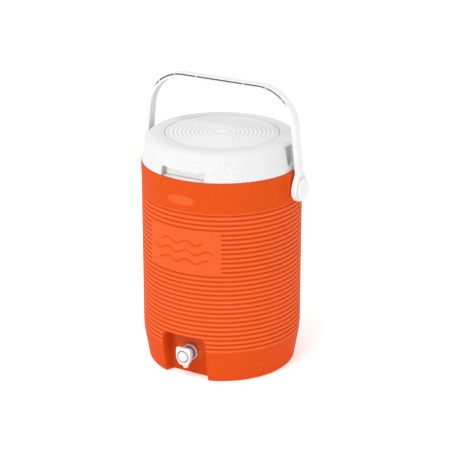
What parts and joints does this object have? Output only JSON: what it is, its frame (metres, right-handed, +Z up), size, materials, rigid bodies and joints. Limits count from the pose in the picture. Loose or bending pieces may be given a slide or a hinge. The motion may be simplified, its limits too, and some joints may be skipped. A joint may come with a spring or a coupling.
{
  "type": "insulated beverage dispenser",
  "caption": "Foam-insulated ribbed drinks jug with a lift-off lid, a swinging bail handle and a push-button tap in a recess at its foot.",
  "frame": {"origin": "centre of the base, on the surface that the jug stands on", "axes": "+Z up along the drum's axis; -Y towards the tap and the front panel; the bail's pivots lie on X"},
  "size_m": [0.374, 0.3201, 0.583],
  "materials": {
    "orange_shell": "satin",
    "white_lid": "satin",
    "white_handle": "satin",
    "white_liner": "satin",
    "foam": "matte",
    "white_tap": "satin",
    "grey_ring": "satin",
    "seal_rubber": "matte",
    "spring_steel": "satin"
  },
  "bodies": {
    "jug": {"outer_shell": "orange_shell", "inner_liner": "white_liner", "insulation_foam": "foam", "foam_fill_plug": "orange_shell", "pivot_stud_left": "white_handle", "pivot_stud_right": "white_handle", "pivot_washer_left": "grey_ring", "pivot_washer_right": "grey_ring", "pivot_push_nut_left": "spring_steel", "pivot_push_nut_right": "spring_steel", "tap_body": "white_tap", "tap_flange": "white_tap", "tap_flange_ring": "grey_ring", "tap_outer_washer": "seal_rubber", "tap_inner_washer": "seal_rubber", "tap_lock_nut": "white_tap", "tap_bonnet": "white_tap", "stem_o_ring": "seal_rubber", "button_ring": "grey_ring", "button_spring": "spring_steel"},
    "button": {"tap_button": "white_tap", "valve_stem": "white_tap", "valve_seal": "seal_rubber"},
    "lid": {"lid_shell": "white_lid", "lid_top_plate": "white_lid", "lid_plug": "white_liner", "lid_foam": "foam", "lid_gasket": "seal_rubber"},
    "handle": {"handle_bail": "white_handle", "handle_cap_left": "white_handle", "handle_cap_right": "white_handle"}
  },
  "joints": [
    {"name": "tap_button_press", "type": "slide", "parent": "jug", "child": "button", "axis": [0, 1, 0], "range_m": [0, 0.004], "stiffness_N_per_m": 600, "springref_m": -0.004, "deforming": ["button_spring"]},
    {"name": "lid_lift", "type": "slide", "parent": "jug", "child": "lid", "axis": [0, 0, 1], "range_m": [0, 0.055]},
    {"name": "handle_swing", "type": "hinge", "parent": "jug", "child": "handle", "pos_m": [0, 0, 0.385], "axis": [1, 0, 0], "range_deg": [-115, 115]}
  ]
}
